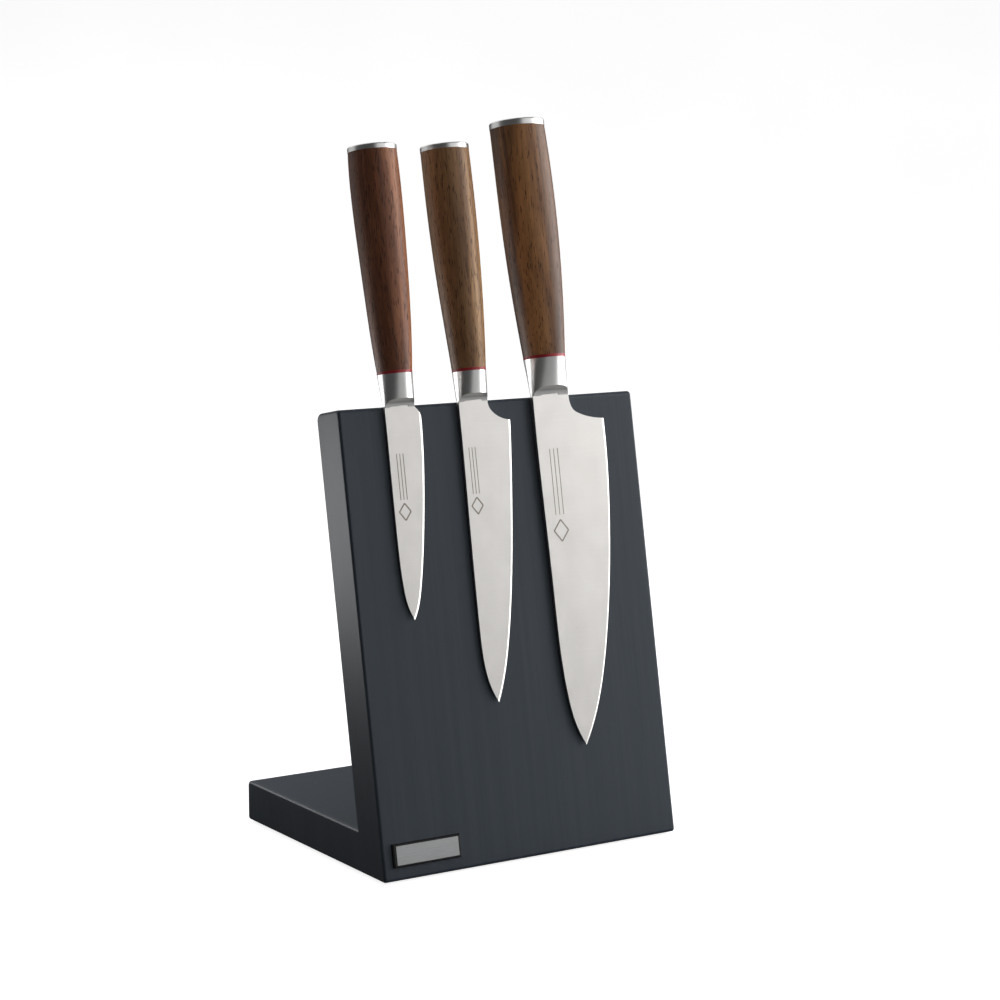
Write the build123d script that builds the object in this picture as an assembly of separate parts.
from build123d import *

# Countertop magnetic knife rack: a leaning panel on a flat base, holding three kitchen knives.
# Units are millimetres. +X runs to the right seen from the front, +Y to the rear, +Z up.
# The origin is the centre of the footprint, on the plane that the rubber feet stand on.

import os
from dataclasses import dataclass
from math import atan, cos, degrees, radians, sin, tan

os.makedirs("parts", exist_ok=True)

# ---- driving dimensions of the stand ----
WIDTH = 150.0
PANEL_HEIGHT = 198.0  # measured up the sloping front face
PANEL_THICKNESS = 19.5
LEAN_DEG = 10.6  # how far the panel leans back from upright
BASE_DEPTH = 123.0
BASE_THICKNESS = 18.0

FRONT_TOP_ROUND = 2.0
REAR_TOP_ROUND = 3.5
BASE_REAR_ROUND = 2.0
BOTTOM_ROUND = 1.5
SIDE_ROUND = 1.2

# ---- rubber feet, let into the underside ----
FOOT_RADIUS = 6.0
FOOT_THICKNESS = 2.0
FOOT_PROUD = 1.0
FOOT_X = 60.0
FOOT_FRONT_SETBACK = 10.0
FOOT_REAR_SETBACK = 12.0
FOOT_EDGE_ROUND = 0.5

# ---- magnets behind a thin front wall, steel yokes behind the magnets, a cover behind both ----
FRONT_WALL = 2.5
MAGNET_RADIUS = 10.0
MAGNET_THICKNESS = 8.0
MAGNET_PITCH = 24.0
MAGNETS_PER_ROW = 5
MAGNET_ROWS = {"upper": 168.0, "lower": 124.0}
YOKE_LENGTH = 116.0
YOKE_WIDTH = 16.0
YOKE_THICKNESS = 2.5
COVER_THICKNESS = 6.5
COVER_WIDTH = 124.0
COVER_BOTTOM = 30.0
COVER_TOP = 190.0
COVER_CORNER_RADIUS = 6.0
COVER_SCREW_INSET = 7.0
COVER_SCREW_MIDDLE = 100.0
COVER_SCREW_LENGTH = 14.0
COVER_SCREW_SHANK_RADIUS = 1.75
COVER_SCREW_HEAD_RADIUS = 3.5
POCKET_CLEARANCE = 0.15
SCREW_CLEARANCE = 0.1
SCREW_END_CLEARANCE = 0.5

# ---- fixings between base and panel ----
DOWEL_RADIUS = 4.0
DOWEL_LENGTH = 30.0
DOWEL_IN_PANEL = 10.0
DOWEL_X = 50.0
BASE_SCREW_X = (-30.0, 0.0, 30.0)
BASE_SCREW_TILT_DEG = 15.0
BASE_SCREW_LENGTH = 32.0
BASE_SCREW_IN_BASE = 17.0
BASE_SCREW_JOINT_HEIGHT = 10.5
BASE_SCREW_POCKET_RADIUS = 4.5
BASE_SCREW_POCKET_LENGTH = 48.0
BASE_SCREW_SHANK_RADIUS = 2.0
BASE_SCREW_HEAD_RADIUS = 4.0
BASE_SCREW_HEAD_HEIGHT = 2.2
BASE_SCREW_DRIVE_WIDTH = 2.6

# ---- name plate at the lower left of the front face, left blank ----
BADGE_X = -53.8
BADGE_HEIGHT_UP_FACE = 10.9
BADGE_LENGTH = 33.0
BADGE_WIDTH = 10.0
BADGE_THICKNESS = 1.4
BADGE_CHAMFER = 0.5
BADGE_PLATE_LENGTH = 30.3
BADGE_PLATE_WIDTH = 8.0
BADGE_PLATE_THICKNESS = 0.5
BADGE_PLATE_INLAY = 0.3
BADGE_PLATE_CORNER = 0.4
BADGE_PEG_RADIUS = 1.0
BADGE_PEG_LENGTH = 3.5
BADGE_PEG_SPACING = 20.0

# ---- shared knife dimensions ----
HANG_GAP = 0.15  # air between a hanging blade's spine and the face
TANG_LENGTH = 34.0  # flat tang above the bolster
TANG_WIDTH = 9.0
FIT_GAP = 0.1
ROD_RADIUS = 2.5
CAP_BOSS_RADIUS = 4.5
CAP_BOSS_LENGTH = 8.0
CAP_SOCKET_DEPTH = 6.0
CAP_EDGE_ROUND = 0.6
CAP_LIP = 0.1  # how far the cap stands out beyond the wood
HEEL_HALF_THICKNESS = 0.45
TIP_HALF_THICKNESS = 0.4
CUTTING_BEVEL_WIDTH = 0.9
CUTTING_BEVEL_DEPTH = 0.34
EDGE_LAND = 0.06  # half the thickness left at the very edge
SCOOP_START_DEG = 20.0  # how steeply the bolster's scoop leaves the blade's face
BEYOND = 80.0  # well outside any knife blade, for cutting tools

SLOPE = radians(LEAN_DEG)
FRONT_Y = -BASE_DEPTH / 2
BOTTOM_Z = FOOT_PROUD
BASE_TOP_Z = BOTTOM_Z + BASE_THICKNESS

# The front face: local X to the right, local Y up the face, local Z out of the face.
FACE = Plane(origin=(0, FRONT_Y, BOTTOM_Z), x_dir=(1, 0, 0), z_dir=(0, -cos(SLOPE), sin(SLOPE)))


@dataclass
class Knife:
    """One knife in its own frame: origin where the blade meets the bolster, on the blade's mid-plane.

    X runs towards the cutting edge, Y towards the butt, Z out of the rack's face.
    spine runs from the bolster to the tip, edge from the tip to the heel, and neck from the heel
    back to the bolster. bolster_foot is the oval that the bolster ends in, as half width, half depth
    and sideways offset. handle holds (height, sideways offset, radius) of its round sections, from the
    spacer to the cap.
    """

    name: str
    hang_x: float
    hang_height: float
    blade_thickness: float
    spine: list
    edge: list
    heel: tuple
    neck: list
    bolster_foot: tuple
    bolster_length: float
    scoop_radius: float
    spacer_thickness: float
    handle: list
    cap_thickness: float


KNIVES = [
    Knife(
        name="paring",
        hang_x=-46.5,
        hang_height=197.3,
        blade_thickness=1.7,
        spine=[(-7.15, -1.5), (-7.1, -30.0), (-7.05, -56.0), (-6.3, -75.5), (-5.1, -83.0), (-2.2, -89.8)],
        edge=[
            (-2.2, -89.8),
            (0.4, -84.3),
            (2.4, -76.9),
            (5.2, -61.9),
            (8.0, -41.7),
            (10.0, -21.5),
            (10.7, -6.3),
        ],
        heel=(10.55, -3.8),
        neck=[(9.25, -1.75)],
        bolster_foot=(7.25, 4.9, 0.35),
        bolster_length=14.1,
        scoop_radius=5.3,
        spacer_thickness=1.2,
        handle=[
            (0.0, -0.1, 7.55),
            (18.9, 0.0, 8.95),
            (44.3, -0.05, 10.03),
            (74.9, -0.3, 10.77),
            (93.3, -0.25, 10.4),
        ],
        cap_thickness=2.3,
    ),
    Knife(
        name="utility",
        hang_x=-9.7,
        hang_height=197.7,
        blade_thickness=2.0,
        spine=[
            (-7.4, -1.5),
            (-7.45, -26.0),
            (-7.85, -62.0),
            (-7.95, -92.0),
            (-7.7, -106.0),
            (-5.65, -120.4),
            (-1.6, -129.4),
        ],
        edge=[
            (-1.6, -129.4),
            (1.75, -121.0),
            (6.05, -105.4),
            (9.95, -85.0),
            (12.9, -64.5),
            (15.25, -43.9),
            (17.25, -23.2),
            (18.3, -10.6),
        ],
        heel=(18.35, -8.9),
        neck=[(14.4, -8.1), (10.5, -6.0), (8.1, -3.3)],
        bolster_foot=(7.3, 5.2, 0.05),
        bolster_length=13.0,
        scoop_radius=5.0,
        spacer_thickness=1.2,
        handle=[
            (0.0, -0.05, 7.4),
            (18.1, -0.1, 8.62),
            (44.0, -0.5, 9.94),
            (75.1, -0.95, 10.56),
            (94.0, -1.25, 10.45),
        ],
        cap_thickness=2.3,
    ),
    Knife(
        name="chef",
        hang_x=29.7,
        hang_height=198.0,
        blade_thickness=2.4,
        spine=[
            (-8.95, -1.5),
            (-9.0, -24.0),
            (-8.35, -60.0),
            (-7.9, -88.0),
            (-7.4, -113.0),
            (-6.05, -128.7),
            (-2.9, -144.0),
            (1.6, -153.4),
        ],
        edge=[
            (1.6, -153.4),
            (9.9, -136.4),
            (16.2, -115.4),
            (22.3, -84.2),
            (26.2, -52.5),
            (27.75, -30.0),
            (27.95, -14.0),
        ],
        heel=(27.9, -11.5),
        neck=[(21.0, -10.6), (15.0, -8.75), (11.9, -6.9), (10.4, -4.0)],
        bolster_foot=(9.5, 4.4, 0.5),
        bolster_length=16.35,
        scoop_radius=6.6,
        spacer_thickness=1.3,
        handle=[
            (0.0, -0.25, 9.25),
            (23.3, -0.45, 10.97),
            (55.0, -0.95, 12.25),
            (76.1, -1.45, 12.37),
            (100.1, -2.4, 12.0),
        ],
        cap_thickness=2.8,
    ),
]


# ---- helpers ----
def face_block(x, up, length, height, low, high):
    """A block on the front face's axes, from depth low to depth high (negative is inside the panel)."""
    return FACE * Pos(x, up, (low + high) / 2) * Box(length, height, high - low)


def face_cylinder(x, up, radius, low, high):
    """A round post square to the front face, from depth low to depth high."""
    return FACE * Pos(x, up, (low + high) / 2) * Cylinder(radius, high - low)


def post(radius, height):
    """A cylinder standing on Z = 0."""
    return Cylinder(radius, height, align=(Align.CENTER, Align.CENTER, Align.MIN))


def tapered_post(low_radius, high_radius, height):
    """A cone standing on Z = 0."""
    return Cone(low_radius, high_radius, height, align=(Align.CENTER, Align.CENTER, Align.MIN))


def rod_between(start, end, radius):
    """A cylinder from one point to another."""
    start = Vector(*start)
    axis = Vector(*end) - start
    return Plane(origin=start, z_dir=axis) * post(radius, axis.length)


def joint_y(height):
    """Y of the panel's rear face at a height above the underside, where the base butts against it."""
    return FRONT_Y + PANEL_THICKNESS / cos(SLOPE) + height * tan(SLOPE)


def base_screw():
    """Washer-head screw along +Z, its head's seat at Z = 0, with a square drive recess."""
    head = Pos(0, 0, -BASE_SCREW_HEAD_HEIGHT) * post(BASE_SCREW_HEAD_RADIUS, BASE_SCREW_HEAD_HEIGHT)
    recess_depth = BASE_SCREW_HEAD_HEIGHT / 2
    drive = Pos(0, 0, -BASE_SCREW_HEAD_HEIGHT + recess_depth / 2) * Box(
        BASE_SCREW_DRIVE_WIDTH, BASE_SCREW_DRIVE_WIDTH, recess_depth
    )
    return post(BASE_SCREW_SHANK_RADIUS, BASE_SCREW_LENGTH) + head - drive


def base_screw_bore():
    """Hole for a base screw's shank, along +Z."""
    return post(BASE_SCREW_SHANK_RADIUS + SCREW_CLEARANCE, BASE_SCREW_LENGTH + SCREW_END_CLEARANCE)


def cover_screw():
    """Countersunk screw along +Z, the flat of its head at Z = 0, with a cross recess."""
    head_height = COVER_SCREW_HEAD_RADIUS - COVER_SCREW_SHANK_RADIUS
    head = tapered_post(COVER_SCREW_HEAD_RADIUS, COVER_SCREW_SHANK_RADIUS, head_height)
    arm = COVER_SCREW_HEAD_RADIUS * 1.1
    cross = Box(arm, arm / 4, head_height) + Box(arm / 4, arm, head_height)
    return head + post(COVER_SCREW_SHANK_RADIUS, COVER_SCREW_LENGTH) - cross


def cover_screw_bore():
    """Hole for a cover screw's shank, along +Z."""
    return post(COVER_SCREW_SHANK_RADIUS + SCREW_CLEARANCE, COVER_SCREW_LENGTH + SCREW_END_CLEARANCE)


def cover_screw_countersink():
    """Countersink for a cover screw's head, which sits a little below flush."""
    mouth = COVER_SCREW_HEAD_RADIUS + POCKET_CLEARANCE
    throat = COVER_SCREW_SHANK_RADIUS + SCREW_CLEARANCE
    return tapered_post(mouth, throat, mouth - throat)


def magnet_spots():
    """Name and place on the front face of every magnet."""
    first = -MAGNET_PITCH * (MAGNETS_PER_ROW - 1) / 2
    for row, up in MAGNET_ROWS.items():
        for number in range(MAGNETS_PER_ROW):
            yield f"magnet_{row}_{number + 1}", first + number * MAGNET_PITCH, up


def cover_screw_spots():
    """Places on the front face's axes of the screws round the rear cover."""
    side = COVER_WIDTH / 2 - COVER_SCREW_INSET
    for up in (COVER_BOTTOM + COVER_SCREW_INSET, COVER_SCREW_MIDDLE, COVER_TOP - COVER_SCREW_INSET):
        for x in (-side, side):
            yield x, up


# ---- the stand ----
def stand_envelope():
    """Panel and base as one rounded block, which is then cut along the panel's rear face."""
    front_top = (FRONT_Y + PANEL_HEIGHT * sin(SLOPE), BOTTOM_Z + PANEL_HEIGHT * cos(SLOPE))
    rear_top = (front_top[0] + PANEL_THICKNESS * cos(SLOPE), front_top[1] - PANEL_THICKNESS * sin(SLOPE))
    rear_y = FRONT_Y + BASE_DEPTH
    corners = [
        (FRONT_Y, BOTTOM_Z),
        front_top,
        rear_top,
        (joint_y(BASE_THICKNESS), BASE_TOP_Z),
        (rear_y, BASE_TOP_Z),
        (rear_y, BOTTOM_Z),
    ]
    block = extrude(Plane.YZ * make_face(Polyline(*corners, close=True)), WIDTH / 2, both=True)
    rounds = [
        (front_top, FRONT_TOP_ROUND),
        (rear_top, REAR_TOP_ROUND),
        ((rear_y, BASE_TOP_Z), BASE_REAR_ROUND),
        ((FRONT_Y, BOTTOM_Z), BOTTOM_ROUND),
        ((rear_y, BOTTOM_Z), BOTTOM_ROUND),
    ]
    for (y, z), radius in rounds:
        long_edges = block.edges().filter_by(Axis.X)
        block = fillet(long_edges.sort_by_distance((0, y, z))[0], radius)
    for side in (-1, 1):
        end_face = block.faces().sort_by(Axis.X)[-1 if side > 0 else 0]
        block = fillet(end_face.edges(), SIDE_ROUND)
    return block


def joint_plane():
    """The panel's rear face, facing the rear."""
    return Plane(
        origin=(0, joint_y(0), BOTTOM_Z),
        x_dir=(1, 0, 0),
        z_dir=(0, cos(SLOPE), -sin(SLOPE)),
    )


def dowel_bores(clearance):
    """Solids of the two dowels, grown by a clearance."""
    start_y = joint_y(BASE_THICKNESS / 2) - DOWEL_IN_PANEL - clearance
    height = BOTTOM_Z + BASE_THICKNESS / 2
    length = DOWEL_LENGTH + 2 * clearance
    return [
        rod_between((x, start_y, height), (x, start_y + length, height), DOWEL_RADIUS + clearance)
        for x in (-DOWEL_X, DOWEL_X)
    ]


def base_screw_planes():
    """One plane per base screw, at its head's seat, facing along the screw towards the panel."""
    tilt = radians(BASE_SCREW_TILT_DEG)
    axis = Vector(0, -cos(tilt), sin(tilt))
    for x in BASE_SCREW_X:
        joint = Vector(x, joint_y(BASE_SCREW_JOINT_HEIGHT), BOTTOM_Z + BASE_SCREW_JOINT_HEIGHT)
        yield Plane(origin=joint - axis * BASE_SCREW_IN_BASE, x_dir=(1, 0, 0), z_dir=axis)


def cover_screw_plane(x, up):
    """Plane of a cover screw's head, on the panel's rear face, facing the front."""
    return FACE * Pos(x, up, -PANEL_THICKNESS)


def foot_spots():
    """Name and place of every foot."""
    rows = {
        "front": FRONT_Y + FOOT_FRONT_SETBACK,
        "rear": FRONT_Y + BASE_DEPTH - FOOT_REAR_SETBACK,
    }
    for row, y in rows.items():
        for side, x in (("left", -FOOT_X), ("right", FOOT_X)):
            yield f"foot_{row}_{side}", x, y


def foot_recess(x, y):
    """Shallow round recess in the underside for one foot."""
    depth = FOOT_THICKNESS - FOOT_PROUD
    return Pos(x, y, BOTTOM_Z + depth / 2) * Cylinder(FOOT_RADIUS + POCKET_CLEARANCE, depth)


def cover_outline(clearance):
    """Rear cover's block, shrunk on all four sides by a clearance."""
    plane = FACE * Pos(0, (COVER_BOTTOM + COVER_TOP) / 2, -PANEL_THICKNESS)
    sketch = RectangleRounded(
        COVER_WIDTH - 2 * clearance,
        COVER_TOP - COVER_BOTTOM - 2 * clearance,
        COVER_CORNER_RADIUS - clearance,
    )
    return extrude(plane * sketch, COVER_THICKNESS)


def panel_board(envelope):
    """Leaning front board, milled from the rear for magnets, yokes and cover."""
    board = split(envelope, bisect_by=joint_plane(), keep=Keep.BOTTOM)
    magnet_back = -FRONT_WALL - MAGNET_THICKNESS
    board -= cover_outline(0)
    for up in MAGNET_ROWS.values():
        board -= face_block(
            0,
            up,
            YOKE_LENGTH + 2 * POCKET_CLEARANCE,
            YOKE_WIDTH + 2 * POCKET_CLEARANCE,
            magnet_back - YOKE_THICKNESS,
            magnet_back,
        )
    for _, x, up in magnet_spots():
        board -= face_cylinder(x, up, MAGNET_RADIUS + POCKET_CLEARANCE, magnet_back, -FRONT_WALL)
    for bore in dowel_bores(POCKET_CLEARANCE):
        board -= bore
    for plane in base_screw_planes():
        board -= plane * base_screw_bore()
    for x, up in cover_screw_spots():
        board -= cover_screw_plane(x, up) * cover_screw_bore()
    for peg_x in (-BADGE_PEG_SPACING / 2, BADGE_PEG_SPACING / 2):
        board -= face_cylinder(
            BADGE_X + peg_x,
            BADGE_HEIGHT_UP_FACE,
            BADGE_PEG_RADIUS + FIT_GAP,
            -BADGE_PEG_LENGTH - FIT_GAP,
            0,
        )
    for _, x, y in foot_spots():
        if y < joint_y(0):
            board -= foot_recess(x, y)
    return board


def base_board(envelope):
    """Flat foot board, bevelled at the front to meet the leaning panel."""
    board = split(envelope, bisect_by=joint_plane(), keep=Keep.TOP)
    for bore in dowel_bores(POCKET_CLEARANCE):
        board -= bore
    for plane in base_screw_planes():
        board -= plane * base_screw_bore()
        board -= plane * Pos(0, 0, -BASE_SCREW_POCKET_LENGTH) * post(
            BASE_SCREW_POCKET_RADIUS, BASE_SCREW_POCKET_LENGTH
        )
    for _, x, y in foot_spots():
        if y > joint_y(0):
            board -= foot_recess(x, y)
    return board


def rear_cover():
    """Thin board let in flush at the rear, closing the magnet pockets."""
    cover = cover_outline(POCKET_CLEARANCE)
    for x, up in cover_screw_spots():
        plane = cover_screw_plane(x, up)
        cover -= plane * cover_screw_bore()
        cover -= plane * cover_screw_countersink()
    return cover


def badge_body():
    """Black name-plate carrier with chamfered edges and two locating pegs."""
    centre = FACE * Pos(BADGE_X, BADGE_HEIGHT_UP_FACE, 0)
    body = Pos(0, 0, BADGE_THICKNESS / 2) * Box(BADGE_LENGTH, BADGE_WIDTH, BADGE_THICKNESS)
    body = chamfer(body.faces().sort_by(Axis.Z)[-1].edges(), BADGE_CHAMFER)
    body -= Pos(0, 0, BADGE_THICKNESS - BADGE_PLATE_INLAY / 2) * Box(
        BADGE_PLATE_LENGTH, BADGE_PLATE_WIDTH, BADGE_PLATE_INLAY
    )
    for peg_x in (-BADGE_PEG_SPACING / 2, BADGE_PEG_SPACING / 2):
        body += Pos(peg_x, 0, -BADGE_PEG_LENGTH / 2) * Cylinder(BADGE_PEG_RADIUS, BADGE_PEG_LENGTH)
    return centre * body


def badge_plate():
    """Blank metal name plate."""
    floor = BADGE_THICKNESS - BADGE_PLATE_INLAY
    plate = Box(BADGE_PLATE_LENGTH, BADGE_PLATE_WIDTH, BADGE_PLATE_THICKNESS)
    plate = fillet(plate.edges().filter_by(Axis.Z), BADGE_PLATE_CORNER)
    return FACE * Pos(BADGE_X, BADGE_HEIGHT_UP_FACE, floor + BADGE_PLATE_THICKNESS / 2) * plate


def stand_parts():
    """Every piece of the stand, by node name."""
    envelope = stand_envelope()
    parts = {
        "panel_board": panel_board(envelope),
        "base_board": base_board(envelope),
        "rear_cover": rear_cover(),
        "badge_body": badge_body(),
        "badge_plate": badge_plate(),
        "dowels": Compound(dowel_bores(0)),
    }
    parts["base_screws"] = Compound([plane * base_screw() for plane in base_screw_planes()])
    parts["cover_screws"] = Compound(
        [cover_screw_plane(x, up) * cover_screw() for x, up in cover_screw_spots()]
    )
    for name, x, up in magnet_spots():
        parts[name] = face_cylinder(x, up, MAGNET_RADIUS, -FRONT_WALL - MAGNET_THICKNESS, -FRONT_WALL)
    for row, up in MAGNET_ROWS.items():
        back = -FRONT_WALL - MAGNET_THICKNESS
        parts[f"yoke_{row}"] = face_block(0, up, YOKE_LENGTH, YOKE_WIDTH, back - YOKE_THICKNESS, back)
    for name, x, y in foot_spots():
        pad = Pos(x, y, FOOT_THICKNESS / 2) * Cylinder(FOOT_RADIUS, FOOT_THICKNESS)
        parts[name] = fillet(pad.edges().sort_by(Axis.Z)[0], FOOT_EDGE_ROUND)
    return parts


# ---- the knives, each built in its own frame ----
def wedge_plane(knife):
    """Front face of the ground blade: thickest at the spine, thinnest at the heel's edge and the tip."""
    spine = Vector(knife.spine[0][0], 0, knife.blade_thickness / 2)
    heel = Vector(knife.heel[0], knife.heel[1], HEEL_HALF_THICKNESS)
    tip = Vector(knife.spine[-1][0], knife.spine[-1][1], TIP_HALF_THICKNESS)
    normal = (heel - spine).cross(tip - spine)
    if normal.Z < 0:
        normal = -normal
    return Plane(origin=spine, z_dir=normal)


def wedge_slope(knife):
    """How much the blade's half thickness falls per millimetre towards the edge, along the bolster."""
    normal = wedge_plane(knife).z_dir
    return normal.X / normal.Z


def cutting_bevel(knife):
    """A large plate whose one side follows the cutting edge and slopes in from it, front and back."""
    edge_curve = Spline(*knife.edge)
    tip = edge_curve @ 0
    run_out = tip - (edge_curve % 0) * BEYOND / 2
    border = [
        Line(run_out, tip),
        edge_curve,
        Polyline(
            knife.edge[-1], (knife.heel[0], BEYOND), (-BEYOND, BEYOND), (-BEYOND, run_out.Y), run_out
        ),
    ]
    plate = make_face(Curve() + border)
    slope = degrees(atan(CUTTING_BEVEL_WIDTH / CUTTING_BEVEL_DEPTH))
    land = extrude(plate, EDGE_LAND, both=True)
    bevel = extrude(Pos(0, 0, EDGE_LAND) * plate, knife.blade_thickness / 2, taper=slope)
    return land + bevel + mirror(bevel, about=Plane.XY)


def blade(knife):
    """Ground blade with its flat tang, and the bright bevel along the cutting edge."""
    half_tang = TANG_WIDTH / 2
    tang_top = handle_start(knife) + TANG_LENGTH
    half_width, _, offset = knife.bolster_foot
    left_shoulder = (offset - half_width, 0)
    right_shoulder = (offset + half_width, 0)
    border = [
        Polyline((half_tang, 0), (half_tang, tang_top), (-half_tang, tang_top), (-half_tang, 0)),
        Polyline((-half_tang, 0), left_shoulder, knife.spine[0]),
        Spline(*knife.spine),
        Spline(*knife.edge),
        Line(knife.edge[-1], knife.heel),
        Spline(knife.heel, *knife.neck, right_shoulder),
        Line(right_shoulder, (half_tang, 0)),
    ]
    solid = extrude(make_face(Curve() + border), knife.blade_thickness / 2, both=True)
    front = wedge_plane(knife)
    back = Plane(
        origin=(front.origin.X, front.origin.Y, -front.origin.Z),
        z_dir=(front.z_dir.X, front.z_dir.Y, -front.z_dir.Z),
    )
    solid = split(solid, bisect_by=front, keep=Keep.BOTTOM)
    solid = split(solid, bisect_by=back, keep=Keep.BOTTOM)
    return solid & cutting_bevel(knife)


def scoop(knife):
    """Cutting tool for the bolster's front: a hollow that leaves the blade at a slant and turns square."""
    slope = wedge_slope(knife)
    tilt = atan(slope)
    plane = Plane(
        origin=(0, 0, knife.blade_thickness / 2 + slope * knife.spine[0][0]),
        x_dir=(0, 1, 0),
        z_dir=(cos(tilt), 0, -sin(tilt)),
    )
    radius = knife.scoop_radius
    start = radians(SCOOP_START_DEG)
    centre_up = -radius * sin(start)
    centre_out = radius * cos(start)
    square = (centre_up + radius, centre_out)
    far_out = 4 * radius
    outline = [
        CenterArc((centre_up, centre_out), radius, SCOOP_START_DEG - 90, 90 - SCOOP_START_DEG),
        Polyline(square, (square[0], far_out), (-radius, far_out), (-radius, 0), (0, 0)),
    ]
    return extrude(plane * make_face(Curve() + outline), 2 * knife.handle[0][2], both=True)


def bolster(knife):
    """Steel collar, round at the handle and oval at the blade, scooped front and back down to the blade."""
    half_width, half_depth, offset = knife.bolster_foot
    _, top_offset, top_radius = knife.handle[0]
    foot = Plane(origin=(offset, 0, 0), x_dir=(1, 0, 0), z_dir=(0, 1, 0)) * Ellipse(half_width, half_depth)
    collar = loft([foot, round_section(knife.bolster_length, top_offset, top_radius)])
    front_scoop = scoop(knife)
    collar -= front_scoop
    collar -= mirror(front_scoop, about=Plane.XY)
    return collar - tang_slot(knife, 0, knife.bolster_length)


def tang_slot(knife, low, high):
    """Slot for the flat tang between two heights."""
    return Pos(0, (low + high) / 2, 0) * Box(
        TANG_WIDTH + 2 * FIT_GAP, high - low, knife.blade_thickness + 2 * FIT_GAP
    )


def round_section(knife_y, offset, radius):
    """A round section square to the handle, as a face."""
    return Plane(origin=(offset, knife_y, 0), x_dir=(1, 0, 0), z_dir=(0, 1, 0)) * Circle(radius)


def spacer(knife):
    """Thin coloured ring between bolster and handle."""
    low = knife.bolster_length
    _, offset, radius = knife.handle[0]
    ring = extrude(round_section(low, offset, radius), knife.spacer_thickness)
    return ring - tang_slot(knife, low, low + knife.spacer_thickness)


def handle_start(knife):
    """Height at which the wood starts."""
    return knife.bolster_length + knife.spacer_thickness


def handle_end(knife):
    """Height at which the wood ends and the cap starts."""
    return handle_start(knife) + knife.handle[-1][0]


def rod_span(knife):
    """Lowest and highest point of the round tang rod."""
    return handle_start(knife) + TANG_LENGTH, handle_end(knife) - CAP_BOSS_LENGTH + CAP_SOCKET_DEPTH


def core_cylinder(radius, low, high):
    """A cylinder along the middle of the tang between two heights."""
    return Plane(origin=(0, low, 0), z_dir=(0, 1, 0)) * post(radius, high - low)


def handle(knife):
    """Turned wooden handle with a slot for the flat tang and a bore for its rod."""
    base = handle_start(knife)
    grip = loft([round_section(base + up, offset, radius) for up, offset, radius in knife.handle])
    top = handle_end(knife)
    grip -= tang_slot(knife, base, base + TANG_LENGTH + FIT_GAP)
    grip -= core_cylinder(ROD_RADIUS + FIT_GAP, base, top)
    grip -= core_cylinder(CAP_BOSS_RADIUS + FIT_GAP, top - CAP_BOSS_LENGTH - FIT_GAP, top)
    return grip


def end_cap(knife):
    """Steel butt cap with a boss that the tang rod screws into."""
    top = handle_end(knife)
    _, offset, radius = knife.handle[-1]
    disc = extrude(round_section(top, offset, radius + CAP_LIP), knife.cap_thickness)
    disc = fillet(disc.edges().sort_by(Axis.Y)[-1], CAP_EDGE_ROUND)
    boss = core_cylinder(CAP_BOSS_RADIUS, top - CAP_BOSS_LENGTH, top)
    socket = core_cylinder(
        ROD_RADIUS + FIT_GAP, top - CAP_BOSS_LENGTH, top - CAP_BOSS_LENGTH + CAP_SOCKET_DEPTH + FIT_GAP
    )
    return disc + boss - socket


def tang_rod(knife):
    """Round rod welded to the flat tang and screwed into the butt cap."""
    low, high = rod_span(knife)
    return core_cylinder(ROD_RADIUS, low, high)


def knife_parts(knife):
    """Every piece of one knife hanging on the face, by node name."""
    place = FACE * Pos(knife.hang_x, knife.hang_height, knife.blade_thickness / 2 + HANG_GAP)
    builders = {
        "blade": blade,
        "bolster": bolster,
        "spacer": spacer,
        "handle": handle,
        "end_cap": end_cap,
        "tang_rod": tang_rod,
    }
    return {f"{knife.name}_{piece}": place * build(knife) for piece, build in builders.items()}


def main():
    """Build every piece and write one STEP file for each."""
    parts = stand_parts()
    for knife in KNIVES:
        parts.update(knife_parts(knife))
    for name, shape in parts.items():
        export_step(shape, f"parts/{name}.step")


main()
